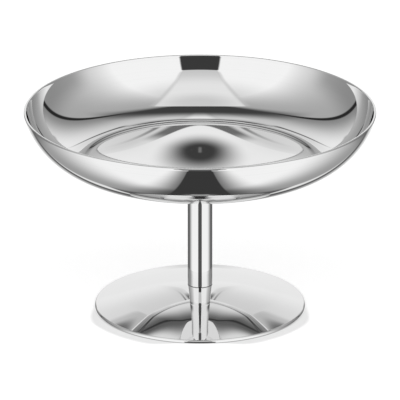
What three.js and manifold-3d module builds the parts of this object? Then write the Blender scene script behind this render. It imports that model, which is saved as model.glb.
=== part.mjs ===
// Footed nut bowl: a spun steel bowl on a tube stem and a pressed, domed foot.
// Millimetres, +Z up, origin at the centre of the ring on which the foot stands.
import * as THREE from 'three';
import { mergeVertices } from 'three/addons/utils/BufferGeometryUtils.js';
import Module from 'manifold-3d';

// Bowl: a wall on one arc up to the rim, a rounded knuckle under it, a narrow shoulder and a shallow dish
const rimDiameter = 140;
const rimHeight = 82.3;
const bowlSheet = 1.0;
const wallArcRadius = 30.9;
const rimAngle = 74.6;
const wallFootAngle = 18;
const knuckleRadius = 12;
const shoulderAngle = 3;
const shoulderWidth = 0.8;
const ridgeRadius = 6;
const dishAngle = 10.9;

// Plate and stud under the bowl, and the ferrule that narrows the stem to them
const plateDiameter = 25;
const plateThickness = 1.2;
const studDiameter = 4.8;
const studEngagement = 4.8;
const ferruleHeight = 4.4;
const ferruleTopDiameter = 6.2;

// Stem: a plain tube with a threaded bush in each end
const tubeDiameter = 10;
const tubeWall = 1.0;
const upperBushLength = 9;
const lowerBushLength = 8;

// Foot: a flat seat for the tube, a crowned middle and a straight skirt
const footDiameter = 84.9;
const footSheet = 1.0;
const crownSlope = 5;
const skirtSlope = 15.5;
const skirtStartDiameter = 62;
const restWidth = 0.8;
const lipRadius = 0.95;

// Fastening inside the foot
const crownWasherDiameter = 20;
const crownWasherThickness = 1.5;
const lockWasherDiameter = 9.2;
const lockWasherThickness = 1.2;
const lockWasherSplit = 14;
const screwDiameter = 4.8;
const screwHeadDiameter = 9;
const screwHeadHeight = 2.6;
const screwHeadBevel = 0.4;
const screwSocketWidth = 3;
const screwSocketDepth = 1.5;
const screwEngagement = 6.5;

// Fits: seated faces, threads, and holes that a screw or stud passes freely
const seatGap = 0.1;
const threadGap = 0.15;
const passGap = 0.4;

// Facets round the large sheet pieces and round the small turned ones
const sheetSides = 64;
const turnedSides = 32;

const rad = THREE.MathUtils.degToRad;

// Materials

function steel(color, roughness) {
  return new THREE.MeshStandardMaterial({ color, roughness, metalness: 1 });
}
const polishedSteel = () => steel(0xdadada, 0.06);
const turnedSteel = () => steel(0xc4c4c2, 0.28);
const zincSteel = () => steel(0xb4b6b8, 0.38);

// Shape helpers: a profile is a list of [radius, height] pairs, outer side first and upwards

function turned(profile, sides) {
  const points = profile.map(([radius, height]) => new THREE.Vector2(radius, height));
  return new THREE.LatheGeometry(points, sides).rotateX(Math.PI / 2);
}

function ring(innerRadius, outerRadius, bottom, top, sides) {
  return turned([
    [innerRadius, bottom],
    [outerRadius, bottom],
    [outerRadius, top],
    [innerRadius, top],
    [innerRadius, bottom],
  ], sides);
}

// Points on an arc; the angle is the slope of the surface, in degrees from the horizontal
function slopeArc(centre, radius, from, to, steps) {
  return Array.from({ length: steps + 1 }, (_, i) => {
    const slope = rad(from + (to - from) * i / steps);
    return [centre[0] + radius * Math.sin(slope), centre[1] - radius * Math.cos(slope)];
  });
}

const wasm = await Module();
wasm.setup();

function toSolid(geometry) {
  const plain = geometry.clone();
  plain.deleteAttribute('normal');
  plain.deleteAttribute('uv');
  const merged = mergeVertices(plain, 1e-4);
  return new wasm.Manifold(new wasm.Mesh({
    numProp: 3,
    vertProperties: new Float32Array(merged.attributes.position.array),
    triVerts: new Uint32Array(merged.index.array),
  }));
}

function toGeometry(solid) {
  const mesh = solid.getMesh();
  const geometry = new THREE.BufferGeometry();
  geometry.setAttribute('position', new THREE.BufferAttribute(mesh.vertProperties, 3));
  geometry.setIndex(new THREE.BufferAttribute(mesh.triVerts, 1));
  return geometry;
}

const part = new THREE.Group();

function add(name, geometry, material) {
  const mesh = new THREE.Mesh(geometry, material);
  mesh.name = name;
  part.add(mesh);
}

// Bowl outline, from the rim inwards. Each arc takes over where the last one ends, at the same slope,
// and the ridge between shoulder and dish bends the other way, so its radius is negative.

const rimRadius = rimDiameter / 2;
const wallCentre = [
  rimRadius - wallArcRadius * Math.sin(rad(rimAngle)),
  rimHeight + wallArcRadius * Math.cos(rad(rimAngle)),
];
const knuckleCentre = slopeArc(wallCentre, wallArcRadius - knuckleRadius, wallFootAngle, wallFootAngle, 1)[0];
const shoulderOuter = slopeArc(knuckleCentre, knuckleRadius, shoulderAngle, shoulderAngle, 1)[0];
const shoulderInner = [
  shoulderOuter[0] - shoulderWidth,
  shoulderOuter[1] - shoulderWidth * Math.tan(rad(shoulderAngle)),
];
const ridgeCentre = slopeArc(shoulderInner, ridgeRadius, shoulderAngle, shoulderAngle, 1)[0];
const dishEdge = slopeArc(ridgeCentre, -ridgeRadius, dishAngle, dishAngle, 1)[0];
const dishRadius = dishEdge[0] / Math.sin(rad(dishAngle));
const dishCentre = [0, dishEdge[1] + dishRadius * Math.cos(rad(dishAngle))];

function bowlSide(inset) {
  const dish = slopeArc(dishCentre, dishRadius - inset, 0, dishAngle, 5);
  const ridge = slopeArc(ridgeCentre, -ridgeRadius - inset, dishAngle, shoulderAngle, 2);
  const knuckle = slopeArc(knuckleCentre, knuckleRadius - inset, shoulderAngle, wallFootAngle, 3);
  const wall = slopeArc(wallCentre, wallArcRadius - inset, wallFootAngle, rimAngle, 8);
  return [...dish, ...ridge.slice(1), ...knuckle, ...wall.slice(1)];
}

function underBowl(radius, gap) {
  return dishCentre[1] - Math.sqrt((dishRadius + gap) ** 2 - radius ** 2);
}

function bowl() {
  const outer = bowlSide(0);
  const inner = bowlSide(bowlSheet);
  const middle = slopeArc(wallCentre, wallArcRadius - bowlSheet / 2, rimAngle, rimAngle, 1)[0];
  const rounding = [1, 2, 3].map((step) => {
    const turn = rad(rimAngle - 90 + 45 * step);
    return [middle[0] + bowlSheet / 2 * Math.cos(turn), middle[1] + bowlSheet / 2 * Math.sin(turn)];
  });
  return turned([...outer, ...rounding, ...inner.reverse()], sheetSides);
}

// Foot outline, from the height of its ground edge up to the seat

const footRadius = footDiameter / 2;
const tubeRadius = tubeDiameter / 2;
const skirtStart = skirtStartDiameter / 2;
const edgeHeight = footSheet / Math.cos(rad(skirtSlope)) - restWidth * Math.tan(rad(skirtSlope));
const skirtTop = edgeHeight + (footRadius - skirtStart) * Math.tan(rad(skirtSlope));
const crownArcRadius = (skirtStart - tubeRadius) / (Math.sin(rad(skirtSlope)) - Math.sin(rad(crownSlope)));
const seatHeight = skirtTop + crownArcRadius * (Math.cos(rad(crownSlope)) - Math.cos(rad(skirtSlope)));
const crownCentre = [
  tubeRadius - crownArcRadius * Math.sin(rad(crownSlope)),
  seatHeight - crownArcRadius * Math.cos(rad(crownSlope)),
];
const screwHoleRadius = screwDiameter / 2 + passGap;

// The crown from the seat outwards, at a depth under the outer face
function crown(depth) {
  const steps = 6;
  return Array.from({ length: steps + 1 }, (_, i) => {
    const slope = rad(crownSlope + (skirtSlope - crownSlope) * i / steps);
    const radius = crownArcRadius - depth;
    return [crownCentre[0] + radius * Math.sin(slope), crownCentre[1] + radius * Math.cos(slope)];
  });
}

function footDome() {
  const tangent = lipRadius * Math.tan(rad(90 - skirtSlope) / 2);
  const lipCentre = [footRadius - lipRadius, edgeHeight - tangent];
  const lip = [0, 1, 2, 3, 4].map((step) => {
    const turn = rad((90 - skirtSlope) * step / 4);
    return [lipCentre[0] + lipRadius * Math.cos(turn), lipCentre[1] + lipRadius * Math.sin(turn)];
  });
  return turned([
    [footRadius - restWidth, 0],
    [footRadius, 0],
    ...lip,
    ...crown(0).reverse(),
    [screwHoleRadius, seatHeight],
    [screwHoleRadius, seatHeight - footSheet],
    ...crown(footSheet),
    [footRadius - restWidth, 0],
  ], sheetSides);
}

// Height of the crown's underside at a radius within it, at a depth under the outer face
function underCrown(radius, depth) {
  const arc = crownArcRadius - depth;
  return crownCentre[1] + Math.sqrt(arc ** 2 - (radius - crownCentre[0]) ** 2);
}

function crownWasher() {
  const outer = crownWasherDiameter / 2;
  const depth = footSheet + seatGap;
  const top = seatHeight - depth;
  return turned([
    [screwHoleRadius, top - crownWasherThickness],
    [outer, top - crownWasherThickness],
    [outer, underCrown(outer, depth)],
    [(outer + tubeRadius) / 2, underCrown((outer + tubeRadius) / 2, depth)],
    [tubeRadius, underCrown(tubeRadius, depth)],
    [screwHoleRadius, underCrown(tubeRadius, depth)],
    [screwHoleRadius, top - crownWasherThickness],
  ], turnedSides);
}

// Heights up the stem: everything hangs from the bowl's underside and stands on the foot's seat

const plateTop = underBowl(0, seatGap);
const plateBottom = plateTop - plateThickness;
const ferruleTop = plateBottom - seatGap;
const ferruleBottom = ferruleTop - ferruleHeight;
const tubeTop = ferruleBottom - seatGap;
const tubeBottom = seatHeight + seatGap;
const studRadius = studDiameter / 2;
const bushRadius = tubeRadius - tubeWall - seatGap;

function plate() {
  const outer = plateDiameter / 2;
  const hole = studRadius + seatGap;
  return turned([
    [hole, plateBottom],
    [outer, plateBottom],
    [outer, underBowl(outer, seatGap)],
    [(outer + hole) / 2, underBowl((outer + hole) / 2, seatGap)],
    [hole, underBowl(hole, seatGap)],
    [hole, plateBottom],
  ], turnedSides);
}

function stud() {
  return turned([
    [0, tubeTop - studEngagement],
    [studRadius, tubeTop - studEngagement],
    [studRadius, plateTop],
    [0, plateTop],
  ], turnedSides);
}

function ferrule() {
  const hole = studRadius + seatGap;
  return turned([
    [hole, ferruleBottom],
    [tubeRadius, ferruleBottom],
    [ferruleTopDiameter / 2, ferruleTop],
    [hole, ferruleTop],
    [hole, ferruleBottom],
  ], turnedSides);
}

// Lock washer: a spring ring with one split, pressed flat

const lockWasherTop = seatHeight - footSheet - seatGap - crownWasherThickness - seatGap;
const lockWasherBottom = lockWasherTop - lockWasherThickness;

function lockWasher() {
  const half = rad(lockWasherSplit) / 2;
  const outline = new THREE.Shape();
  outline.absarc(0, 0, lockWasherDiameter / 2, half, 2 * Math.PI - half, false);
  outline.absarc(0, 0, screwHoleRadius, 2 * Math.PI - half, half, true);
  outline.closePath();
  const options = { depth: lockWasherThickness, bevelEnabled: false, curveSegments: turnedSides };
  return new THREE.ExtrudeGeometry(outline, options).translate(0, 0, lockWasherBottom);
}

// Screw: its head points down and has a hexagon socket

function screw() {
  const headTop = lockWasherBottom - seatGap;
  const headBottom = headTop - screwHeadHeight;
  const headRadius = screwHeadDiameter / 2;
  const body = turned([
    [0, headBottom],
    [headRadius - screwHeadBevel, headBottom],
    [headRadius, headBottom + screwHeadBevel],
    [headRadius, headTop],
    [screwDiameter / 2, headTop],
    [screwDiameter / 2, tubeBottom + screwEngagement],
    [0, tubeBottom + screwEngagement],
  ], turnedSides);
  const socketRadius = screwSocketWidth / 2 / Math.cos(rad(30));
  const socket = new THREE.CylinderGeometry(socketRadius, socketRadius, 2 * screwSocketDepth, 6)
    .rotateX(Math.PI / 2)
    .translate(0, 0, headBottom);
  return toGeometry(toSolid(body).subtract(toSolid(socket)));
}

// Assembly, from the bowl down to the screw

add('bowl', bowl(), polishedSteel());
add('bowl_plate', plate(), polishedSteel());
add('bowl_stud', stud(), turnedSteel());
add('top_ferrule', ferrule(), polishedSteel());
add('stem_tube', ring(tubeRadius - tubeWall, tubeRadius, tubeBottom, tubeTop, turnedSides), polishedSteel());
add(
  'upper_bush',
  ring(studRadius + threadGap, bushRadius, tubeTop - upperBushLength, tubeTop, turnedSides),
  turnedSteel(),
);
add(
  'lower_bush',
  ring(screwDiameter / 2 + threadGap, bushRadius, tubeBottom, tubeBottom + lowerBushLength, turnedSides),
  turnedSteel(),
);
add('foot_dome', footDome(), polishedSteel());
add('crown_washer', crownWasher(), turnedSteel());
add('lock_washer', lockWasher(), zincSteel());
add('foot_screw', screw(), zincSteel());

export default part;
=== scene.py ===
from math import asin, cos, degrees, pi, radians, sin, tan

import bmesh
import bpy
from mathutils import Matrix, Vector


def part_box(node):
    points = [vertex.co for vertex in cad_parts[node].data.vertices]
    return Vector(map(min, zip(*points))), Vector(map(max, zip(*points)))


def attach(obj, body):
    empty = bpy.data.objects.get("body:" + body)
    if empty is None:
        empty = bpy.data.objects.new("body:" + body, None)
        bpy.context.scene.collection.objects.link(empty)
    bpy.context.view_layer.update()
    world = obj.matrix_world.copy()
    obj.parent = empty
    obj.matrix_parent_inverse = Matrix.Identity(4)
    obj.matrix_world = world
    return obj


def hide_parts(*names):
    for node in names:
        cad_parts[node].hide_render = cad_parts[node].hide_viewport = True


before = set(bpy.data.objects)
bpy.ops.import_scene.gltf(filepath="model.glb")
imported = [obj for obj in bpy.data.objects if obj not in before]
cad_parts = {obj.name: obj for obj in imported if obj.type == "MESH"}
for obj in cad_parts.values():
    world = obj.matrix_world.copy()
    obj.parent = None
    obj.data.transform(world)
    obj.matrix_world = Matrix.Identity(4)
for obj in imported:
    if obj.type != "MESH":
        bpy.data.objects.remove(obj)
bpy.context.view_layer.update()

# Foot: one round of steel sheet, pressed to a low crown with a straight skirt and polished.
# Its edge is rounded over and ground flat below, where it stands on the table.
# Sizes are in millimetres and angles in degrees, here and in the other sections.
PER_METRE = 1000
FOOT_RADIUS = 42.45
FOOT_SHEET = 1.0
CROWN_SLOPE = 5
SKIRT_SLOPE = 15.5
SKIRT_START = 31
SKIRT_STEPS = (0.03, 0.1, 0.3, 1, 3, 6, 9)
REST_WIDTH = 0.8
LIP_RADIUS = 0.95
TUBE_RADIUS = 5
SCREW_HOLE = 2.8
FOOT_SIDES = 360
FOOT_SHARP = 30
LIP_ROWS = 20
CROWN_ROWS = 40
STEEL_SHADE = 0.905
MIRROR_ROUGHNESS = 0.012


class Wire:
    """A socket of a node tree. Sums and products of wires and numbers add Math nodes."""

    def __init__(self, tree, socket=None):
        self.tree = tree
        self.socket = socket

    def node(self, kind, settings=None, inputs=None, output=0):
        made = self.tree.nodes.new(kind)
        for name, value in (settings or {}).items():
            setattr(made, name, value)
        for name, value in (inputs or {}).items():
            if isinstance(value, Wire):
                self.tree.links.new(value.socket, made.inputs[name])
            else:
                made.inputs[name].default_value = value
        return Wire(self.tree, made.outputs[output])

    def parts(self):
        """The three parts of a vector."""
        split = self.node("ShaderNodeSeparateXYZ", {}, {0: self}).socket.node
        return [Wire(self.tree, split.outputs[axis]) for axis in "XYZ"]

    def math(self, operation, first, second=0.0):
        return self.node("ShaderNodeMath", {"operation": operation}, {0: first, 1: second})

    def rise(self, start, end):
        """0 before start, 1 past end, smooth between; start may lie above end."""
        reach = {"Value": self, "From Min": start, "From Max": end}
        return self.node("ShaderNodeMapRange", {"interpolation_type": "SMOOTHSTEP"}, reach)

    def blend(self, first, second):
        """first where this wire is 0, second where it is 1."""
        return first + self * (second - first)

    def feed(self, node, name):
        self.tree.links.new(self.socket, node.inputs[name])

    def __add__(self, other):
        return self.math("ADD", self, other)

    __radd__ = __add__

    def __sub__(self, other):
        return self.math("SUBTRACT", self, other)

    def __rsub__(self, other):
        return self.math("SUBTRACT", other, self)

    def __mul__(self, other):
        return self.math("MULTIPLY", self, other)

    __rmul__ = __mul__

    def __truediv__(self, other):
        return self.math("DIVIDE", self, other)

    def __rtruediv__(self, other):
        return self.math("DIVIDE", other, self)


def new_material(name):
    material = bpy.data.materials.new(name)
    material.use_nodes = True
    return material, Wire(material.node_tree), material.node_tree.nodes["Principled BSDF"]


def grey_colour(wire):
    return wire.node("ShaderNodeCombineColor", {}, {"Red": wire, "Green": wire, "Blue": wire})


def distance_from_axis(tree):
    """Object position and its distance from the upright axis, in millimetres."""
    place = tree.node("ShaderNodeTexCoord", output="Object")
    to_scale = (PER_METRE, PER_METRE, 0)
    flat = tree.node("ShaderNodeVectorMath", {"operation": "MULTIPLY"}, {0: place, 1: to_scale})
    return place, tree.node("ShaderNodeVectorMath", {"operation": "LENGTH"}, {0: flat}, "Value")


def polished_steel(name):
    """Mirror polish: fine rings from the buffing wheel and faint cloudy wiping marks."""
    material, tree, shader = new_material(name)
    place, radius = distance_from_axis(tree)
    rings = tree.node("ShaderNodeTexNoise", {"noise_dimensions": "1D"},
                      {"W": radius, "Scale": 3.0, "Detail": 3.0, "Roughness": 0.6})
    clouds = tree.node("ShaderNodeTexNoise", {}, {"Vector": place, "Scale": 55.0, "Detail": 2.0})
    rough = MIRROR_ROUGHNESS + 0.016 * clouds.rise(0.35, 0.75) + 0.014 * rings.rise(0.45, 0.8)
    shade = STEEL_SHADE - 0.02 * rings.rise(0.4, 0.9) - 0.012 * clouds.rise(0.4, 0.8)
    rough.feed(shader, "Roughness")
    grey_colour(shade).feed(shader, "Base Color")
    shader.inputs["Metallic"].default_value = 1
    return material


def finished_mesh(name, body, material, sharp):
    """Closes a bmesh into a mesh with outward faces, smooth up to the sharp angle."""
    bmesh.ops.recalc_face_normals(body, faces=body.faces)
    for face in body.faces:
        face.material_index = 0
    mesh = bpy.data.meshes.new(name)
    body.to_mesh(mesh)
    body.free()
    mesh.shade_smooth()
    mesh.set_sharp_from_angle(angle=radians(sharp))
    mesh.materials.append(material)
    return mesh


def turned_mesh(name, profile, sides, material, sharp=25, split=0):
    """A closed piece turned from points of (radius, height); split is the gap of an open ring."""
    body = bmesh.new()
    gap = radians(split)
    count = sides + 1 if split else sides
    turns = [gap / 2 + (2 * pi - gap) * k / sides for k in range(count)]
    rows = []
    for radius, height in profile:
        if radius == 0:
            rows.append([body.verts.new((0, 0, height / PER_METRE))] * count)
            continue
        away = radius / PER_METRE
        rows.append([body.verts.new((away * cos(t), away * sin(t), height / PER_METRE)) for t in turns])
    pairs = list(zip(rows, rows[1:]))
    if profile[0][0] != 0:
        pairs.append((rows[-1], rows[0]))
    for low, high in pairs:
        for k in range(sides):
            after = (k + 1) % count
            corners = [low[k], low[after], high[after], high[k]]
            body.faces.new(list(dict.fromkeys(corners)))
    if split:
        body.faces.new([row[0] for row in rows])
        body.faces.new([row[-1] for row in rows])
    return finished_mesh(name, body, material, sharp)


def new_piece(name, mesh, body, node):
    piece = bpy.data.objects.new(name, mesh)
    bpy.context.scene.collection.objects.link(piece)
    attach(piece, body)
    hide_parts(node)


def heights(node):
    """The heights of the lowest and the highest point of a solid."""
    return [corner.z * PER_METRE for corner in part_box(node)]


def slope_arc(centre, radius, start, end, steps):
    """Points on an arc between two slopes of the surface, from the horizontal."""
    slopes = [radians(start + (end - start) * k / steps) for k in range(steps + 1)]
    return [(centre[0] + radius * sin(s), centre[1] - radius * cos(s)) for s in slopes]


edge_height = FOOT_SHEET / cos(radians(SKIRT_SLOPE)) - REST_WIDTH * tan(radians(SKIRT_SLOPE))
skirt_top = edge_height + (FOOT_RADIUS - SKIRT_START) * tan(radians(SKIRT_SLOPE))
crown_radius = (SKIRT_START - TUBE_RADIUS) / (sin(radians(SKIRT_SLOPE)) - sin(radians(CROWN_SLOPE)))
seat_height = skirt_top + crown_radius * (cos(radians(CROWN_SLOPE)) - cos(radians(SKIRT_SLOPE)))
crown_centre = (
    TUBE_RADIUS - crown_radius * sin(radians(CROWN_SLOPE)),
    seat_height - crown_radius * cos(radians(CROWN_SLOPE)),
)


def crown(depth, start, end, steps):
    """The crown's arc at a depth below the outer face; it bends downwards."""
    return slope_arc(crown_centre, depth - crown_radius, -start, -end, steps)


lip_centre = (FOOT_RADIUS - LIP_RADIUS, edge_height - LIP_RADIUS * tan(radians(90 - SKIRT_SLOPE) / 2))
lip = slope_arc(lip_centre, LIP_RADIUS, 90, 180 - SKIRT_SLOPE, LIP_ROWS)
lip_end, lip_top = lip[-1]
skirt = [(lip_end - away, lip_top + away * tan(radians(SKIRT_SLOPE))) for away in SKIRT_STEPS]
foot_profile = [
    (FOOT_RADIUS - REST_WIDTH, 0),
    (FOOT_RADIUS, 0),
    *lip,
    *skirt,
    *crown(0, SKIRT_SLOPE, CROWN_SLOPE, CROWN_ROWS),
    (SCREW_HOLE, seat_height),
    (SCREW_HOLE, seat_height - FOOT_SHEET),
    *crown(FOOT_SHEET, CROWN_SLOPE, SKIRT_SLOPE, CROWN_ROWS),
]
foot_steel = polished_steel("foot_steel")
foot_mesh = turned_mesh("foot_dome_sheet", foot_profile, FOOT_SIDES, foot_steel, FOOT_SHARP)
new_piece("foot_dome_sheet", foot_mesh, "stem_and_foot", "foot_dome")

# Crown washer: a thick washer that spreads the screw's pull under the thin crown of the foot.
# It is turned from bar with its top to the crown's curve, and left as it comes off the lathe.
WASHER_RADIUS = 10
SEAT_GAP = 0.1
EDGE_BREAK = 0.15
TURNED_SIDES = 96
WASHER_ROWS = 8
TURNED_SHADE = 0.68
TURNED_ROUGHNESS = 0.2


def turned_steel(name):
    """Steel straight off the lathe: fine tool marks run round the axis, with a satin shine."""
    material, tree, shader = new_material(name)
    place, radius = distance_from_axis(tree)
    height = place.parts()[2] * PER_METRE
    marks = tree.node("ShaderNodeTexNoise", {"noise_dimensions": "1D"},
                      {"W": radius + height, "Scale": 9.0, "Detail": 4.0, "Roughness": 0.7})
    bump = tree.node("ShaderNodeBump", {}, {"Strength": 0.2, "Distance": 0.0001, "Height": marks})
    bump.feed(shader, "Normal")
    (TURNED_ROUGHNESS + 0.16 * marks.rise(0.3, 0.7)).feed(shader, "Roughness")
    grey_colour(TURNED_SHADE + 0.14 * marks.rise(0.3, 0.7)).feed(shader, "Base Color")
    shader.inputs["Metallic"].default_value = 1
    return material


washer_low = heights("crown_washer")[0]
washer_depth = FOOT_SHEET + SEAT_GAP
washer_arc = crown_radius - washer_depth
washer_face = WASHER_RADIUS - EDGE_BREAK
outer_slope, inner_slope = (
    degrees(asin((radius - crown_centre[0]) / washer_arc)) for radius in (washer_face, TUBE_RADIUS)
)
washer_top = crown(washer_depth, outer_slope, inner_slope, WASHER_ROWS)
washer_profile = [
    (SCREW_HOLE, washer_low),
    (washer_face, washer_low),
    (WASHER_RADIUS, washer_low + EDGE_BREAK),
    (WASHER_RADIUS, washer_top[0][1] - EDGE_BREAK),
    *washer_top,
    (SCREW_HOLE, washer_top[-1][1]),
]
washer_steel = turned_steel("washer_steel")
washer_mesh = turned_mesh("crown_washer_turned", washer_profile, TURNED_SIDES, washer_steel)
new_piece("crown_washer_turned", washer_mesh, "stem_and_foot", "crown_washer")

# Lock washer: a spring ring of flat wire with one split, pressed flat between head and washer.
# It is zinc plated, so it is a little greyer and duller than the steel round it.
LOCK_RADIUS = 4.6
LOCK_SPLIT = 14
LOCK_SHARP = 25
ZINC_SHADE = 0.62
ZINC_ROUGHNESS = 0.3


def zinc_plate(name):
    """Bright zinc plating: a soft, slightly cloudy grey with a bluish tinge."""
    material, tree, shader = new_material(name)
    place = tree.node("ShaderNodeTexCoord", output="Object")
    clouds = tree.node("ShaderNodeTexNoise", {}, {"Vector": place, "Scale": 900.0, "Detail": 3.0})
    grain = tree.node("ShaderNodeTexNoise", {}, {"Vector": place, "Scale": 6000.0, "Detail": 2.0})
    shade = ZINC_SHADE + 0.12 * clouds.rise(0.3, 0.7) + 0.05 * grain.rise(0.3, 0.7)
    tint = {"Red": shade, "Green": shade * 1.01, "Blue": shade * 1.03}
    tree.node("ShaderNodeCombineColor", {}, tint).feed(shader, "Base Color")
    (ZINC_ROUGHNESS + 0.15 * clouds.rise(0.3, 0.7)).feed(shader, "Roughness")
    shader.inputs["Metallic"].default_value = 1
    return material


zinc = zinc_plate("zinc_plate")
lock_low, lock_high = heights("lock_washer")
lock_profile = [
    (SCREW_HOLE, lock_low + EDGE_BREAK),
    (SCREW_HOLE + EDGE_BREAK, lock_low),
    (LOCK_RADIUS - EDGE_BREAK, lock_low),
    (LOCK_RADIUS, lock_low + EDGE_BREAK),
    (LOCK_RADIUS, lock_high - EDGE_BREAK),
    (LOCK_RADIUS - EDGE_BREAK, lock_high),
    (SCREW_HOLE + EDGE_BREAK, lock_high),
    (SCREW_HOLE, lock_high - EDGE_BREAK),
]
lock_mesh = turned_mesh("lock_washer_split", lock_profile, TURNED_SIDES, zinc, LOCK_SHARP, LOCK_SPLIT)
new_piece("lock_washer_split", lock_mesh, "stem_and_foot", "lock_washer")

# Foot screw: a socket-head screw put in from below, which pulls foot and tube together.
# The head is cold headed with a hexagon socket, and the thread is rolled on the shank.
HEAD_RADIUS = 4.5
HEAD_HEIGHT = 2.6
HEAD_BEVEL = 0.4
SOCKET_WIDTH = 3
SOCKET_DEPTH = 1.5
SHANK_ROOT = 0.4
THREAD = {"Radius": 2.4, "Depth": 0.38, "Pitch": 0.8, "Low": 0.0, "High": 10.0}
THREAD_FLANK = (0.06, 0.44)
LOW_RUNOUT = (0.1, 1.2)
HIGH_RUNOUT = (0.1, 0.8)
THREAD_SIDES = 48
THREAD_ROWS = 160
THREAD_SHARP = 35
WELD_DISTANCE = 0.002


def new_tree(name, sizes):
    """An empty Geometry Nodes tree with one named input for each size."""
    tree = bpy.data.node_groups.new(name, "GeometryNodeTree")
    tree.interface.new_socket("Geometry", in_out="OUTPUT", socket_type="NodeSocketGeometry")
    for label, size in sizes.items():
        socket = tree.interface.new_socket(label, in_out="INPUT", socket_type="NodeSocketFloat")
        socket.default_value = size
    entry = tree.nodes.new("NodeGroupInput")
    return Wire(tree), {label: Wire(tree, entry.outputs[label]) for label in sizes}


def spun_strip(tree, rows, sides, profile):
    """A strip carried once round; profile gives radius and height from the place along it and the turn."""
    grid = tree.node("GeometryNodeMeshGrid", {}, {
        "Size X": 1.0, "Size Y": 1.0, "Vertices X": rows + 1, "Vertices Y": sides + 1})
    across, sideways, _ = tree.node("GeometryNodeInputPosition").parts()
    turn = (sideways + 0.5) * (2 * pi)
    radius, height = profile(across + 0.5, turn)
    spot = tree.node("ShaderNodeCombineXYZ", {}, {
        "X": radius * tree.math("COSINE", turn) * (1 / PER_METRE),
        "Y": radius * tree.math("SINE", turn) * (1 / PER_METRE),
        "Z": height * (1 / PER_METRE),
    })
    return tree.node("GeometryNodeSetPosition", {}, {"Geometry": grid, "Position": spot})


def join_strips(tree, strips, material):
    """Welds the strips into one closed skin and ends the tree."""
    joined = tree.tree.nodes.new("GeometryNodeJoinGeometry")
    for strip in strips:
        strip.feed(joined, 0)
    skin = Wire(tree.tree, joined.outputs[0])
    reach = WELD_DISTANCE / PER_METRE
    skin = tree.node("GeometryNodeMergeByDistance", {}, {"Geometry": skin, "Distance": reach})
    skin = tree.node("GeometryNodeRealizeInstances", {}, {"Geometry": skin})
    skin = tree.node("GeometryNodeSetMaterial", {}, {"Geometry": skin, "Material": material})
    skin.feed(tree.tree.nodes.new("NodeGroupOutput"), 0)


def grown_mesh(name, tree, sizes, material, sharp):
    """Runs a tree of Geometry Nodes with these sizes and returns its result as a plain mesh."""
    seed = bpy.data.objects.new(name + "_seed", bpy.data.meshes.new(name + "_seed"))
    bpy.context.scene.collection.objects.link(seed)
    growth = seed.modifiers.new("Growth", "NODES")
    growth.node_group = tree
    for item in tree.interface.items_tree:
        if item.in_out == "INPUT" and item.name in sizes:
            growth[item.identifier] = sizes[item.name]
    graph = bpy.context.evaluated_depsgraph_get()
    grown = bpy.data.meshes.new_from_object(seed.evaluated_get(graph), depsgraph=graph)
    seed.modifiers.remove(growth)
    bpy.data.objects.remove(seed)
    body = bmesh.new()
    body.from_mesh(grown)
    return finished_mesh(name, body, material, sharp)


def threaded_rod(name, material):
    """A tree for a rod with a rolled thread; its flanks and the run-outs at its ends are in pitches."""
    tree, given = new_tree(name, THREAD)
    low, high, pitch = given["Low"], given["High"], given["Pitch"]
    core = given["Radius"] - given["Depth"]

    def thread(along, turn):
        height = along.blend(low, high)
        winding = height / pitch - turn * (1 / (2 * pi))
        ridge = tree.math("PINGPONG", winding, 0.5).rise(*THREAD_FLANK)
        runout = ((height - low) / pitch).rise(*LOW_RUNOUT) * ((high - height) / pitch).rise(*HIGH_RUNOUT)
        return core + given["Depth"] * ridge * runout, height

    strips = [
        spun_strip(tree, THREAD_ROWS, THREAD_SIDES, thread),
        spun_strip(tree, 2, THREAD_SIDES, lambda along, turn: (core * along, low)),
        spun_strip(tree, 2, THREAD_SIDES, lambda along, turn: (core * along, high)),
    ]
    join_strips(tree, strips, material)
    return tree.tree


def joined_mesh(name, meshes, material, sharp):
    """Several closed meshes as one."""
    body = bmesh.new()
    for mesh in meshes:
        body.from_mesh(mesh)
    return finished_mesh(name, body, material, sharp)


screw_low, screw_high = heights("foot_screw")
head_high = screw_low + HEAD_HEIGHT
socket_corner = SOCKET_WIDTH / 2 / cos(radians(30))
head_profile = [
    (0, screw_low),
    (HEAD_RADIUS - HEAD_BEVEL, screw_low),
    (HEAD_RADIUS, screw_low + HEAD_BEVEL),
    (HEAD_RADIUS, head_high - EDGE_BREAK),
    (HEAD_RADIUS - EDGE_BREAK, head_high),
    (0, head_high),
]
socket_profile = [
    (0, screw_low - SOCKET_DEPTH),
    (socket_corner, screw_low - SOCKET_DEPTH),
    (socket_corner, screw_low + SOCKET_DEPTH),
    (0, screw_low + SOCKET_DEPTH),
]
blank = bpy.data.objects.new("head_blank", turned_mesh("head_blank", head_profile, TURNED_SIDES, zinc))
punch = bpy.data.objects.new("socket_punch", turned_mesh("socket_punch", socket_profile, 6, zinc))
for tool in (blank, punch):
    bpy.context.scene.collection.objects.link(tool)
punching = blank.modifiers.new("Punching", "BOOLEAN")
punching.object = punch
punching.solver = "EXACT"
graph = bpy.context.evaluated_depsgraph_get()
head_mesh = bpy.data.meshes.new_from_object(blank.evaluated_get(graph), depsgraph=graph)
for tool in (blank, punch):
    bpy.data.objects.remove(tool)
screw_tree = threaded_rod("Screw thread", zinc)
shank_sizes = {**THREAD, "Low": head_high - SHANK_ROOT, "High": screw_high}
shank_mesh = grown_mesh("screw_shank", screw_tree, shank_sizes, zinc, THREAD_SHARP)
screw_mesh = joined_mesh("foot_screw_socket_head", [head_mesh, shank_mesh], zinc, THREAD_SHARP)
new_piece("foot_screw_socket_head", screw_mesh, "stem_and_foot", "foot_screw")

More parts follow.
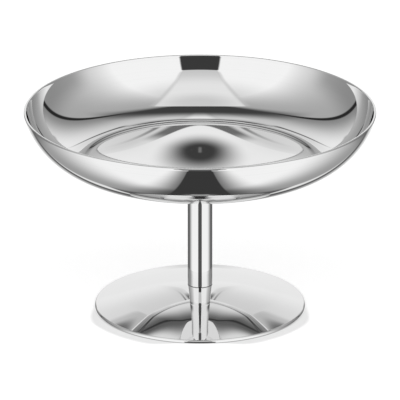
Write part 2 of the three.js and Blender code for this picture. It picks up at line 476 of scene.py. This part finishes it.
# Lower bush: a threaded bush soldered into the bottom of the tube, which takes the foot screw.
# It is turned from bar, with its ends chamfered and its bore tapped.
# The tapped thread is always out of sight, so the bore is left plain here.
BUSH_RADIUS = 3.9
BUSH_BORE = 2.55
BUSH_CHAMFER = 0.3


def bush_profile(low, high):
    return [
        (BUSH_BORE, low + BUSH_CHAMFER),
        (BUSH_BORE + BUSH_CHAMFER, low),
        (BUSH_RADIUS - BUSH_CHAMFER, low),
        (BUSH_RADIUS, low + BUSH_CHAMFER),
        (BUSH_RADIUS, high - BUSH_CHAMFER),
        (BUSH_RADIUS - BUSH_CHAMFER, high),
        (BUSH_BORE + BUSH_CHAMFER, high),
        (BUSH_BORE, high - BUSH_CHAMFER),
    ]


bush_steel = turned_steel("bush_steel")
lower_profile = bush_profile(*heights("lower_bush"))
lower_mesh = turned_mesh("lower_bush_tapped", lower_profile, TURNED_SIDES, bush_steel)
new_piece("lower_bush_tapped", lower_mesh, "stem_and_foot", "lower_bush")

# Stem tube: plain drawn tube, polished, clamped between the foot and the ferrule.
# Both ends are faced square and lightly broken so that they close without a visible gap.
TUBE_BORE = 4
STEM_SIDES = 128
tube_low, tube_high = heights("stem_tube")
tube_profile = [
    (TUBE_BORE, tube_low),
    (TUBE_RADIUS - EDGE_BREAK, tube_low),
    (TUBE_RADIUS, tube_low + EDGE_BREAK),
    (TUBE_RADIUS, tube_high - EDGE_BREAK),
    (TUBE_RADIUS - EDGE_BREAK, tube_high),
    (TUBE_BORE, tube_high),
]
tube_steel = polished_steel("tube_steel")
tube_mesh = turned_mesh("stem_tube_drawn", tube_profile, STEM_SIDES, tube_steel)
new_piece("stem_tube_drawn", tube_mesh, "stem_and_foot", "stem_tube")

# Upper bush: the same kind of bush in the top of the tube, in which the bowl's stud turns.
# It is a little longer than the lower one, and soldered in flush with the tube's end.
upper_profile = bush_profile(*heights("upper_bush"))
upper_mesh = turned_mesh("upper_bush_tapped", upper_profile, TURNED_SIDES, bush_steel)
new_piece("upper_bush_tapped", upper_mesh, "stem_and_foot", "upper_bush")

# Top ferrule: a small turned cone between the tube and the plate under the bowl.
# The stud passes through it, and it is polished with the tube.
FERRULE_TOP = 3.1
STUD_HOLE = 2.5
ferrule_low, ferrule_high = heights("top_ferrule")
ferrule_profile = [
    (STUD_HOLE, ferrule_low),
    (TUBE_RADIUS - EDGE_BREAK, ferrule_low),
    (TUBE_RADIUS, ferrule_low + EDGE_BREAK),
    (FERRULE_TOP, ferrule_high),
    (STUD_HOLE, ferrule_high),
]
ferrule_mesh = turned_mesh("top_ferrule_cone", ferrule_profile, STEM_SIDES, tube_steel)
new_piece("top_ferrule_cone", ferrule_mesh, "ferrule", "top_ferrule")

# Bowl plate: a round plate welded under the bowl, which carries the stud and stiffens the thin sheet.
# Its top is turned to the curve of the bowl's bottom and its lower edge is broken and polished.
PLATE_RADIUS = 12.5
DISH_RADIUS = 238.3
PLATE_BREAK = 0.25
PLATE_ROWS = 4
plate_low, plate_high = heights("bowl_plate")
plate_row = (PLATE_RADIUS - STUD_HOLE) / PLATE_ROWS
plate_radii = [PLATE_RADIUS - plate_row * k for k in range(PLATE_ROWS + 1)]
plate_top = [(r, plate_high - (PLATE_RADIUS ** 2 - r ** 2) / (2 * DISH_RADIUS)) for r in plate_radii]
plate_profile = [
    (STUD_HOLE, plate_low),
    (PLATE_RADIUS - PLATE_BREAK, plate_low),
    (PLATE_RADIUS, plate_low + PLATE_BREAK),
    *plate_top,
]
plate_steel = polished_steel("plate_steel")
plate_mesh = turned_mesh("bowl_plate_welded", plate_profile, STEM_SIDES, plate_steel)
new_piece("bowl_plate_welded", plate_mesh, "bowl_body", "bowl_plate")

# Bowl stud: a length of threaded rod welded into the plate, on which the bowl screws into the stem.
# The thread is rolled and runs out at both ends.
stud_low, stud_high = heights("bowl_stud")
stud_steel = turned_steel("stud_steel")
stud_tree = threaded_rod("Stud thread", stud_steel)
stud_sizes = {**THREAD, "Low": stud_low, "High": stud_high}
stud_mesh = grown_mesh("bowl_stud_threaded", stud_tree, stud_sizes, stud_steel, THREAD_SHARP)
new_piece("bowl_stud_threaded", stud_mesh, "bowl_body", "bowl_stud")

# Bowl: spun from one disc of sheet to a wall on a single arc, with a shallow dish for a bottom.
# A narrow shoulder parts the two, and the rim is rounded over and polished.
BOWL = {
    "Rim radius": 69.98,
    "Rim height": 82.28,
    "Sheet": 1.0,
    "Wall arc radius": 30.9,
    "Rim angle": 74.6,
    "Wall foot angle": 18.0,
    "Knuckle radius": 12.0,
    "Shoulder angle": 3.0,
    "Shoulder width": 0.8,
    "Ridge radius": 6.0,
    "Dish angle": 10.9,
}
BOWL_SIDES = 400
BOWL_ROWS = {"Dish": 40, "Ridge": 8, "Knuckle": 12, "Wall": 56, "Rim": 14}
BOWL_SHARP = 60

bowl_tree, given = new_tree("Spun bowl", BOWL)
slope = {label: given[label] * (pi / 180) for label in BOWL if label.endswith("angle")}


def on_arc(centre, radius, angle):
    """The point of an arc where the surface has this slope, as a radius and a height."""
    across = bowl_tree.math("SINE", angle)
    down = bowl_tree.math("COSINE", angle)
    return centre[0] + radius * across, centre[1] - radius * down


rim_point = (given["Rim radius"], given["Rim height"])
wall_radius = given["Wall arc radius"]
wall_centre = on_arc(rim_point, 0 - wall_radius, slope["Rim angle"])
knuckle_radius = given["Knuckle radius"]
knuckle_centre = on_arc(wall_centre, wall_radius - knuckle_radius, slope["Wall foot angle"])
shoulder_outer = on_arc(knuckle_centre, knuckle_radius, slope["Shoulder angle"])
shoulder_fall = given["Shoulder width"] * bowl_tree.math("TANGENT", slope["Shoulder angle"])
shoulder_inner = (shoulder_outer[0] - given["Shoulder width"], shoulder_outer[1] - shoulder_fall)
ridge_radius = given["Ridge radius"]
ridge_centre = on_arc(shoulder_inner, ridge_radius, slope["Shoulder angle"])
dish_edge = on_arc(ridge_centre, 0 - ridge_radius, slope["Dish angle"])
dish_radius = dish_edge[0] / bowl_tree.math("SINE", slope["Dish angle"])
dish_height = dish_edge[1] + dish_radius * bowl_tree.math("COSINE", slope["Dish angle"])


def arc_strip(row, centre, radius, start, end):
    """One band of the bowl: an arc between two slopes."""
    return spun_strip(
        bowl_tree, BOWL_ROWS[row], BOWL_SIDES,
        lambda along, turn: on_arc(centre, radius, along.blend(start, end)),
    )


def straight_strip(first, last):
    """One band of the bowl: straight between two points of the profile."""
    return spun_strip(
        bowl_tree, 1, BOWL_SIDES,
        lambda along, turn: (along.blend(first[0], last[0]), along.blend(first[1], last[1])),
    )


bowl_strips = []
for inset in (0, given["Sheet"]):
    inner_end = on_arc(shoulder_inner, 0 - inset, slope["Shoulder angle"])
    outer_end = on_arc(shoulder_outer, 0 - inset, slope["Shoulder angle"])
    bowl_strips += [
        arc_strip("Dish", (0, dish_height), dish_radius - inset, 0, slope["Dish angle"]),
        arc_strip("Ridge", ridge_centre, 0 - ridge_radius - inset,
                  slope["Dish angle"], slope["Shoulder angle"]),
        straight_strip(inner_end, outer_end),
        arc_strip("Knuckle", knuckle_centre, knuckle_radius - inset,
                  slope["Shoulder angle"], slope["Wall foot angle"]),
        arc_strip("Wall", wall_centre, wall_radius - inset, slope["Wall foot angle"], slope["Rim angle"]),
    ]
half_sheet = given["Sheet"] * 0.5
rim_centre = on_arc(wall_centre, wall_radius - half_sheet, slope["Rim angle"])
bowl_strips.append(arc_strip("Rim", rim_centre, half_sheet, slope["Rim angle"], slope["Rim angle"] + pi))
bowl_steel = polished_steel("bowl_steel")
join_strips(bowl_tree, bowl_strips, bowl_steel)
bowl_mesh = grown_mesh("bowl_spun", bowl_tree.tree, BOWL, bowl_steel, BOWL_SHARP)
new_piece("bowl_spun", bowl_mesh, "bowl_body", "bowl")

# Floor: the plain pale table top on which the bowl stands, wide enough for every view.
# The steel mirrors the studio panels and not the table, as it does in the photograph.
FLOOR_SPREAD = 8000
FLOOR_COLOUR = 0.8
FLOOR_GLOW = 0.6
PAINTED_SHADOW_DEPTH = 0.54
PAINTED_SHADOW_WIDTH = 5
PAINTED_CONTACT_SHADOW_DEPTH = 0.5
PAINTED_CONTACT_SHADOW_GLOW_LOSS = 0.7
floor_mesh = bpy.data.meshes.new("floor")
far = FLOOR_SPREAD / PER_METRE
corners = [(-far, -far, 0), (far, -far, 0), (far, far, 0), (-far, far, 0)]
floor_mesh.from_pydata(corners, [], [(0, 1, 2, 3)])
floor = bpy.data.objects.new("floor", floor_mesh)
bpy.context.scene.collection.objects.link(floor)
floor.visible_glossy = False
floor_paint, floor_wire, floor_shader = new_material("floor_paint")
floor_place, floor_radius = distance_from_axis(floor_wire)

# A pale painted shadow and a thin painted contact-shadow line follow the foot's front edge; both darken
# the floor's colour, and the line also dims its glow.
floor_side, floor_depth = (part * PER_METRE for part in floor_place.parts()[:2])
painted_shadow_width = PAINTED_SHADOW_WIDTH * floor_wire.math("ABSOLUTE", floor_side).rise(5, 22) * floor_depth.rise(0, -24)
shade = (floor_radius - FOOT_RADIUS - painted_shadow_width).rise(1.2, -0.6) * floor_depth.rise(6, -10)
painted_contact_shadow = (floor_radius - FOOT_RADIUS).rise(1.2, 0.1) * floor_depth.rise(-6, -34)
paint = FLOOR_COLOUR * (1 - PAINTED_SHADOW_DEPTH * shade) * (1 - PAINTED_CONTACT_SHADOW_DEPTH * painted_contact_shadow)
grey_colour(paint).feed(floor_shader, "Base Color")
floor_shader.inputs["Roughness"].default_value = 1
floor_shader.inputs["Specular IOR Level"].default_value = 0
floor_shader.inputs["Emission Strength"].default_value = 1
seen = floor_wire.node("ShaderNodeLightPath", output="Is Camera Ray")
# The thin painted contact shadow also dims the floor's glow along the foot's edge.
grey_colour(seen * FLOOR_GLOW * (1 - PAINTED_CONTACT_SHADOW_GLOW_LOSS * painted_contact_shadow)).feed(floor_shader, "Emission Color")
floor_mesh.materials.append(floor_paint)

# Studio: soft panels at both sides, a dark card in front with a pale strip above it, and a back panel
# in a dark frame. Directions are the angle round from the camera and the height above the horizon.
STEEL_MIRRORS = 0.89
DISPLAY_OFFSET = 0.055
DISPLAY_POWER = 2.4
POST_AROUND = 130.7
STRIP_HALF = 0.3
STRIP_BACK = 0.125
BEAM_FRONT = 0.14
CARD_TOP = 35
FOLD_AROUND = 169
FOLD_BELOW = 43.5
MOUND_TOP = 40.2
MOUND_FLATNESS = 2.3
MOUND_LINE = 47.6
SPOT_ABOVE = 30


def shown(grey, mirrors=1):
    """A panel's brightness that shows as this display grey after one or two mirrors of steel."""
    signal = (grey / 255 + DISPLAY_OFFSET) / (1 + DISPLAY_OFFSET)
    return signal ** DISPLAY_POWER / STEEL_MIRRORS ** mirrors


world = bpy.data.worlds.new("studio")
world.use_nodes = True
bpy.context.scene.world = world
studio = Wire(world.node_tree)
side, deep, up = studio.node("ShaderNodeTexCoord", output="Generated").parts()
side = studio.math("ABSOLUTE", side)
round_to = studio.math("ARCTAN2", side, 0 - deep) * (180 / pi)
rise_to = studio.math("ARCSINE", up) * (180 / pi)
above = studio.math("GREATER_THAN", up, 0.0)
overhead = studio.math("MAXIMUM", up, 0.001)
underneath = studio.math("MAXIMUM", 0 - up, 0.001)

# Side panels fall off towards the posts. Behind the posts the back wall grows brighter to its middle,
# with one leaning dark seam on it.
before_post = studio.math("MINIMUM", (128 - round_to) / 66, 1.0)
fall = studio.math("POWER", studio.math("MAXIMUM", before_post, 0.0), 2.3)
light = fall.blend(shown(164), rise_to.rise(42, 80).blend(shown(241), shown(202)))
light = light * (1 - 0.34 * rise_to.rise(32, 8) * round_to.rise(78, 96))
off_middle = 180 - round_to
wall_shade = (rise_to.rise(18, 58) * off_middle.rise(2, 6)).blend(shown(231), shown(192))
mid_shade = rise_to.rise(14, 44) * round_to.rise(161, 165) * off_middle.rise(4, 8)
back_wall = round_to.rise(131, 160).blend(shown(130), mid_shade.blend(wall_shade, shown(203)))
low_shade = round_to.rise(152, 163).blend(shown(124, 2), shown(204, 2))
low_shade = round_to.rise(165.5, 168.5).blend(low_shade, shown(228))
low_wall = studio.math("MAXIMUM", rise_to.rise(12, 4), rise_to.rise(17.5, 14) * round_to.rise(150, 153))
back_wall = low_wall.blend(back_wall, low_shade)
light = studio.math("GREATER_THAN", round_to, POST_AROUND).blend(light, back_wall)
post = studio.math("ABSOLUTE", round_to - POST_AROUND).rise(2.6, 1.0)
post = post * rise_to.rise(-8, 2) * rise_to.rise(66, 56)
light = post.blend(light, shown(38))
past_seam = rise_to - 36 - 9 * (round_to - 163)
seam = 0.3 * past_seam.rise(-6, -1) + 0.7 * past_seam.rise(-0.5, 2.8)
seam = seam * round_to.rise(161, 162) * round_to.rise(166, 164.5) * rise_to.rise(48, 45)
light = seam.blend(light, shown(100))

# Below the horizon the side panels run on down to a dark strip of floor, which the front card stands on.
lower = round_to.rise(80, 148).blend(shown(240), shown(152))
lower = (rise_to.rise(-34, -24) * round_to.rise(68, 122)).blend(lower, shown(92))
lower = (round_to.rise(150, 159) * round_to.rise(172, 168)).blend(lower, shown(92))
spread = side / underneath
strip_end = 1 - round_to.rise(158, 166) * rise_to.rise(-80, -76)
lower = (0.9 * strip_end * rise_to.rise(-46, -52) * spread.rise(0.38, 0.1)).blend(lower, shown(54))
lower = (strip_end * rise_to.rise(-44, -48) * spread.rise(0.148, 0.134)).blend(lower, shown(54))
light = rise_to.rise(-6, -18).blend(light, lower)

# Ceiling: a dark beam behind the middle, and a pale strip that runs from it to the front card.
behind = deep / overhead
beam = behind.rise(0.68, 0.34) * behind.rise(STRIP_BACK, BEAM_FRONT) * above * round_to.rise(116, 134)
light = beam.blend(light, shown(60))
front_ceiling = behind.rise(BEAM_FRONT, STRIP_BACK) * above
across = side / overhead - 0.03 * rise_to.rise(50, 36)
strip = across.rise(STRIP_HALF, 0.28) * front_ceiling * rise_to.rise(33.6, CARD_TOP)
strip_top = rise_to.rise(68, 86).blend(shown(225), shown(200))
strip_shade = rise_to.rise(CARD_TOP, 60).blend(shown(196), strip_top)
light = strip.blend(light, strip_shade)
strip_edge = studio.math("ABSOLUTE", across - STRIP_HALF).rise(0.045, 0.0)
strip_edge = strip_edge * front_ceiling * rise_to.rise(34, 38)
light = (strip_edge * 0.6).blend(light, shown(190))

# Front card: a dark upright card, a little wider at the height of the stem.
stem_level = rise_to.rise(16, 8) * rise_to.rise(-40, -26)
card = (round_to - 3 * stem_level).rise(14.4, 12.8) * rise_to.rise(CARD_TOP, 34) * rise_to.rise(-48, -44)
light = card.blend(light, stem_level.blend(shown(56), shown(78)))

# Low back: a dark fold under the back wall, seen in the front of the foot by way of the bowl's underside.
fold = studio.math("MAXIMUM", FOLD_AROUND - round_to, 0.0) / 14
from_fold = rise_to + FOLD_BELOW - 14 * studio.math("POWER", fold, 1.7)
under_fold = from_fold.rise(-1, -8)
clear = studio.math("MAXIMUM", from_fold.rise(0, 22), under_fold * under_fold)
folded = clear.blend(shown(86, 2), shown(212, 2))
folded = studio.math("ABSOLUTE", from_fold).rise(1.3, 0.3).blend(folded, shown(50, 2))
low_back = round_to.rise(151, 156) * rise_to.rise(-12, -22)
side_end = rise_to.rise(-52, -49)
middle_end = round_to.rise(168, 172) * rise_to.rise(-64, -58)
low_back = low_back * studio.math("MAXIMUM", side_end, middle_end)
light = low_back.blend(light, folded)

# Back middle: a bright mound with a soft dark spot on it, in front of a darker wall with a thin dark seam.
mound = rise_to + off_middle * off_middle / MOUND_FLATNESS
wall = (mound - MOUND_TOP).rise(0, 5).blend(shown(214), shown(202))
wall = (rise_to.rise(32, 37) * mound.rise(45.5, 43)).blend(wall, shown(105))
mound_line = studio.math("ABSOLUTE", mound - MOUND_LINE).rise(1.6, 0.3) * off_middle.rise(7.2, 4)
wall = mound_line.blend(wall, shown(110))
round_mound = mound.rise(40.0, 40.6) * off_middle.rise(8.5, 5.2)
round_mound = round_mound * rise_to.rise(15, 27) * rise_to.rise(45, 42)
light = round_mound.blend(light, wall)
top_line = rise_to.rise(42.2, 43) * rise_to.rise(57, 46) * round_to.rise(161, 172)
light = top_line.blend(light, shown(66))
spot_high = 0.46 * studio.math("MAXIMUM", rise_to - SPOT_ABOVE, 0.0)
spot_low = 0.25 * studio.math("MAXIMUM", SPOT_ABOVE - rise_to, 0.0)
spot_wide = 0.96 * off_middle
spot_reach = studio.math("SQRT", spot_high * spot_high + spot_low * spot_low + spot_wide * spot_wide)
light = spot_reach.rise(3.6, 0.9).blend(light, shown(58))
slit = off_middle.rise(0.2, 0.05) * rise_to.rise(28.4, 29.4) * rise_to.rise(31.8, 30.8)
light = (slit * 0.2).blend(light, shown(200))

backdrop = world.node_tree.nodes["Background"]
eye = studio.node("ShaderNodeLightPath", output="Is Camera Ray")
grey_colour(eye.blend(light, 1.0)).feed(backdrop, "Color")

# Camera: well back with a long lens, about twenty degrees above the table, as in the photograph.
# Its place is in metres, and its lens is given by the focal length in pixels of a 400 pixel picture.
CAMERA_PLACE = (0, -1.5975, 0.6322)
CAMERA_TILT = 20.196
SENSOR_WIDTH = 36
FOCAL_PIXELS = 4251
PICTURE_PIXELS = 400
camera_data = bpy.data.cameras.new("camera")
camera_data.sensor_width = SENSOR_WIDTH
camera_data.lens = SENSOR_WIDTH * FOCAL_PIXELS / PICTURE_PIXELS
camera_data.clip_end = 50
camera = bpy.data.objects.new("camera", camera_data)
camera.location = CAMERA_PLACE
camera.rotation_euler = (radians(90 - CAMERA_TILT), 0, 0)
bpy.context.scene.collection.objects.link(camera)
bpy.context.scene.camera = camera
bpy.context.scene.view_settings.view_transform = "Standard"
